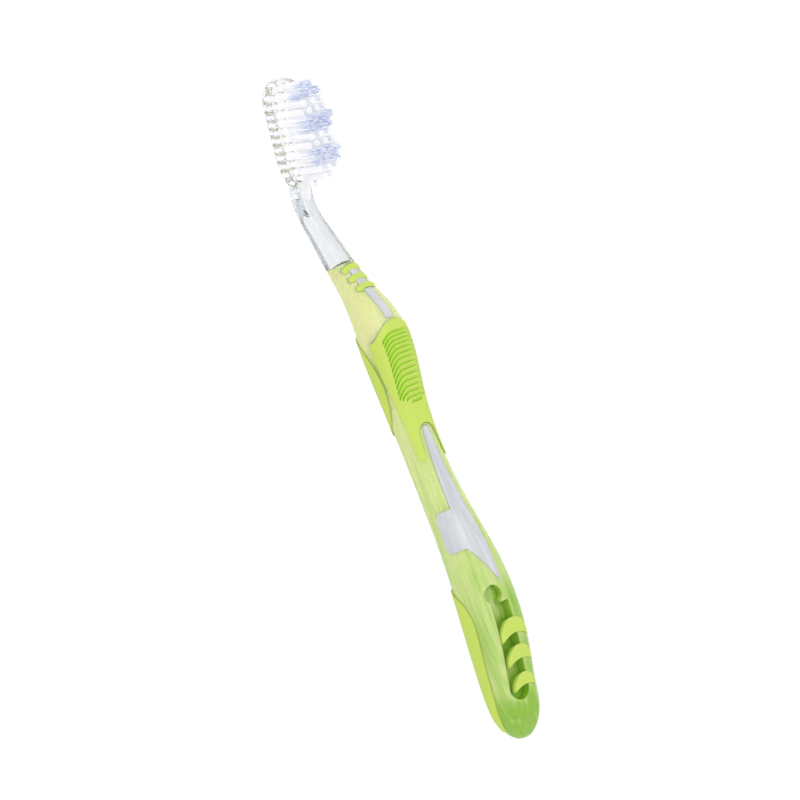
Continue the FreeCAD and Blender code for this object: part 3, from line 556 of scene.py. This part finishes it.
# Real filaments are a little thinner, and there are more of them in a tuft
SOCKETS = (
    ("Geometry", "NodeSocketGeometry", None),
    ("Filaments", "NodeSocketInt", 40),
    ("Tuft Radius", "NodeSocketFloat", 0.8 * MM),
    ("Filament Radius", "NodeSocketFloat", 0.11 * MM),
    ("Fan", "NodeSocketFloat", 0.2),
    ("Crimp", "NodeSocketFloat", 0.06 * MM),
    ("Crimp Length", "NodeSocketFloat", 2.2 * MM),
    ("Uneven", "NodeSocketFloat", 0.3 * MM),
    ("Tilt", "NodeSocketFloat", 0.0),
    ("Seed", "NodeSocketInt", 0),
    ("Material", "NodeSocketMaterial", None),
)
for name, kind, start in SOCKETS:
    socket = tree.interface.new_socket(name, in_out="INPUT", socket_type=kind)
    if start is not None:
        socket.default_value = start
tree.interface.new_socket("Geometry", in_out="OUTPUT", socket_type="NodeSocketGeometry")
given = add_node(tree, "NodeGroupInput").outputs
print("inputs:", len(SOCKETS))

# %% [markdown]
# The filaments of a tuft lie packed in a round hole. The seeds of a sunflower fill a circle evenly: each
# one is a golden angle on from the last, and the root of its rank gives its distance from the middle. The
# layout is kept as the attribute "spread", and one copy of it goes on every hole.

# %% Layout of a tuft
GOLDEN_ANGLE = math.pi * (3 - math.sqrt(5))
index = add_node(tree, "GeometryNodeInputIndex").outputs[0]
rank = add_node(tree, "ShaderNodeMath", {0: index, 1: 0.5}, operation="ADD")
share = add_node(tree, "ShaderNodeMath", {0: rank.outputs[0], 1: given["Filaments"]}, operation="DIVIDE")
root = add_node(tree, "ShaderNodeMath", {0: share.outputs[0]}, operation="SQRT")
radius = add_node(tree, "ShaderNodeMath", {0: root.outputs[0], 1: given["Tuft Radius"]},
                  operation="MULTIPLY")
angle = add_node(tree, "ShaderNodeMath", {0: index, 1: GOLDEN_ANGLE}, operation="MULTIPLY")
spoke = add_node(tree, "ShaderNodeCombineXYZ", {"X": radius.outputs[0]})
spot = add_node(tree, "ShaderNodeVectorRotate", {"Vector": spoke.outputs[0], "Angle": angle.outputs[0]},
                rotation_type="Z_AXIS")
seeds = add_node(tree, "GeometryNodePoints", {"Count": given["Filaments"], "Position": spot.outputs[0]})
place = add_node(tree, "GeometryNodeInputPosition")
layout = add_node(tree, "GeometryNodeStoreNamedAttribute", {"Geometry": seeds.outputs[0], "Name": "spread"},
                  data_type="FLOAT_VECTOR", domain="POINT")
tree.links.new(place.outputs[0], layout.inputs["Value"])

tilt = add_node(tree, "ShaderNodeCombineXYZ", {"Y": given["Tilt"]}).outputs[0]
holes = add_node(tree, "GeometryNodeMeshToPoints", {"Mesh": given["Geometry"]})
laid = add_node(tree, "GeometryNodeInstanceOnPoints", {
    "Points": holes.outputs[0], "Instance": layout.outputs[0], "Rotation": tilt})
roots = add_node(tree, "GeometryNodeRealizeInstances", {"Geometry": laid.outputs[0]})
print("golden angle in degrees:", round(math.degrees(GOLDEN_ANGLE), 1))

# %% [markdown]
# Each root gets one line. It is as tall as its hole says, give or take a little, because the tips of cut
# filaments are never quite level. In Random Value, sockets 2 and 3 are the least and the greatest number.

# %% Lines on the roots
STRAND_POINTS = 11
strand = add_node(tree, "GeometryNodeCurvePrimitiveLine", {"End": (0, 0, 1)})
strand = add_node(tree, "GeometryNodeResampleCurve", {"Curve": strand.outputs[0], "Count": STRAND_POINTS})
reach = add_node(tree, "GeometryNodeInputNamedAttribute", {"Name": "reach"}, data_type="FLOAT")
own = add_node(tree, "FunctionNodeRandomValue", {2: -0.5, 3: 0.5, "Seed": given["Seed"]})
tall = add_node(tree, "ShaderNodeMath", {0: own.outputs[1], 1: given["Uneven"], 2: reach.outputs[0]},
                operation="MULTIPLY_ADD")
scale = add_node(tree, "ShaderNodeCombineXYZ", {"X": 1.0, "Y": 1.0, "Z": tall.outputs[0]})
lines = add_node(tree, "GeometryNodeInstanceOnPoints", {
    "Points": roots.outputs[0], "Instance": strand.outputs[0], "Rotation": tilt, "Scale": scale.outputs[0]})
lines = add_node(tree, "GeometryNodeRealizeInstances", {"Geometry": lines.outputs[0]})
print("points of a filament:", STRAND_POINTS)

# %% [markdown]
# A tuft opens towards its tips, so the lines fan out with the square of their height. The blue filaments
# are also crimped: they swing to and fro in a wave, each in a direction of its own, and more towards the
# tip.

# %% Fan and crimp
FULL_TURN = 2 * math.pi
along_strand = add_node(tree, "GeometryNodeSplineParameter").outputs
height = along_strand["Factor"]
square = add_node(tree, "ShaderNodeMath", {0: height, 1: height}, operation="MULTIPLY")
opening = add_node(tree, "ShaderNodeMath", {0: square.outputs[0], 1: given["Fan"]}, operation="MULTIPLY")
spread = add_node(tree, "GeometryNodeInputNamedAttribute", {"Name": "spread"}, data_type="FLOAT_VECTOR")
fan = add_node(tree, "ShaderNodeVectorMath", {0: spread.outputs[0], "Scale": opening.outputs[0]},
               operation="SCALE")

number = add_node(tree, "GeometryNodeInputIndex").outputs[0]
strand_number = add_node(tree, "GeometryNodeFieldOnDomain", {0: number}, data_type="INT",
                         domain="CURVE").outputs[0]
turn = add_node(tree, "FunctionNodeRandomValue", {
    2: 0.0, 3: FULL_TURN, "ID": strand_number, "Seed": given["Seed"]}).outputs[1]
waves = add_node(tree, "ShaderNodeMath", {0: along_strand["Length"], 1: given["Crimp Length"]},
                 operation="DIVIDE")
phase = add_node(tree, "ShaderNodeMath", {0: waves.outputs[0], 1: FULL_TURN, 2: turn},
                 operation="MULTIPLY_ADD")
wave = add_node(tree, "ShaderNodeMath", {0: phase.outputs[0]}, operation="SINE")
swing = add_node(tree, "ShaderNodeMath", {0: wave.outputs[0], 1: given["Crimp"]}, operation="MULTIPLY")
swing = add_node(tree, "ShaderNodeMath", {0: swing.outputs[0], 1: height}, operation="MULTIPLY")
swing = add_node(tree, "ShaderNodeCombineXYZ", {"X": swing.outputs[0]})
crimp = add_node(tree, "ShaderNodeVectorRotate", {"Vector": swing.outputs[0], "Angle": turn},
                 rotation_type="Z_AXIS")
offset = add_node(tree, "ShaderNodeVectorMath", {0: fan.outputs[0], 1: crimp.outputs[0]}, operation="ADD")
offset = add_node(tree, "ShaderNodeVectorRotate", {"Vector": offset.outputs[0], "Angle": given["Tilt"]},
                  rotation_type="Y_AXIS")
bent = add_node(tree, "GeometryNodeSetPosition", {
    "Geometry": lines.outputs[0], "Offset": offset.outputs[0]})
print("filament tree so far:", len(tree.nodes), "nodes")

# %% [markdown]
# The nylon shader reads two attributes, the height on the filament and a tone of the filament's own. They
# are stored before a thin skin is drawn round every line. Four sides are enough for something as thin as
# a hair.

# %% Skin of the filaments
STRAND_SIDES = 4
TONE_SEED = 7
tone = add_node(tree, "FunctionNodeRandomValue", {
    2: -0.5, 3: 0.5, "ID": strand_number, "Seed": TONE_SEED}).outputs[1]
for name, field in (("height", height), ("tone", tone)):
    bent = add_node(tree, "GeometryNodeStoreNamedAttribute", {"Geometry": bent.outputs[0], "Name": name},
                    data_type="FLOAT", domain="POINT")
    tree.links.new(field, bent.inputs["Value"])
ring = add_node(tree, "GeometryNodeCurvePrimitiveCircle", {
    "Resolution": STRAND_SIDES, "Radius": given["Filament Radius"]})
skin = add_node(tree, "GeometryNodeCurveToMesh", {
    "Curve": bent.outputs[0], "Profile Curve": ring.outputs["Curve"], "Fill Caps": True})
skin = add_node(tree, "GeometryNodeSetShadeSmooth", {"Geometry": skin.outputs[0]})
skin = add_node(tree, "GeometryNodeRealizeInstances", {"Geometry": skin.outputs[0]})
skin = add_node(tree, "GeometryNodeSetMaterial", {
    "Geometry": skin.outputs[0], "Material": given["Material"]})
add_node(tree, "NodeGroupOutput", {"Geometry": skin.outputs[0]})
filament_tree = tree
print("filament tree:", len(filament_tree.nodes), "nodes")

# %% [markdown]
# ## Tufts
# In the CAD model a tuft is a plain rod, which says where its hole is and how long it is. A guide mesh
# takes one point and one length from each rod, and the filament tree runs on the guide. All blue tufts
# are one piece and all white ones another, because a piece for each tuft would make nothing better. The
# two rows at the toe are trimmed a little shorter than the rest.

# %% Guides of the tufts
HEAD_TILT = math.radians(12)
TOE_ROWS = ("blue_tuft_01", "blue_tuft_02")
TOE_SHARE = 0.88
axis = Vector((math.sin(HEAD_TILT), 0, math.cos(HEAD_TILT)))


def tuft_guide(nodes):
    """A mesh with one vertex at the bottom of each tuft, and the tuft's length as the attribute reach."""
    places, reaches = [], []
    for node in nodes:
        heights = [vertex.co.dot(axis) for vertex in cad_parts[node].data.vertices]
        middle = (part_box(node)[0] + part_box(node)[1]) / 2
        places.append(middle + axis * (min(heights) - middle.dot(axis)))
        share = TOE_SHARE if node.startswith(TOE_ROWS) else 1.0
        reaches.append((max(heights) - min(heights)) * share)
    mesh = bpy.data.meshes.new("tuft_guide")
    mesh.from_pydata(places, [], [])
    mesh.attributes.new("reach", "FLOAT", "POINT").data.foreach_set("value", reaches)
    print(len(places), "tufts, in mm:", round(min(reaches) / MM, 1), "to", round(max(reaches) / MM, 1))
    return mesh


# %% Tufts
def grow_tufts(name, nodes, slot, **sizes):
    """Run the filament tree on the guide of these nodes, and keep the result as a plain mesh."""
    piece = bpy.data.objects.new(name, tuft_guide(nodes))
    bpy.context.scene.collection.objects.link(piece)
    modifier = piece.modifiers.new("filaments", "NODES")
    modifier.node_group = filament_tree
    items = filament_tree.interface.items_tree
    sockets = {item.name: item.identifier for item in items if item.in_out == "INPUT"}
    for key, size in {"Tilt": HEAD_TILT, **sizes}.items():
        modifier[sockets[key]] = size
    bpy.context.view_layer.update()
    graph = bpy.context.evaluated_depsgraph_get()
    mesh = bpy.data.meshes.new_from_object(piece.evaluated_get(graph), preserve_all_data_layers=True,
                                           depsgraph=graph)
    piece.modifiers.clear()
    piece.data = mesh
    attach(piece, "root")
    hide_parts(*nodes)
    print(name, len(mesh.polygons), "faces")


blue_nodes = sorted(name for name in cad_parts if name.startswith("blue_tuft"))
white_nodes = sorted(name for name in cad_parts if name.startswith("white_tuft"))
grow_tufts("blue_filaments", blue_nodes, "blue_bristle", Seed=3, Fan=0.5, Crimp=0.09 * MM, Uneven=1.0 * MM,
           Material=blue_nylon)
grow_tufts("white_filaments", white_nodes, "white_bristle", Seed=5, Fan=0.08, Crimp=0.0, Uneven=0.15 * MM,
           Material=white_nylon)
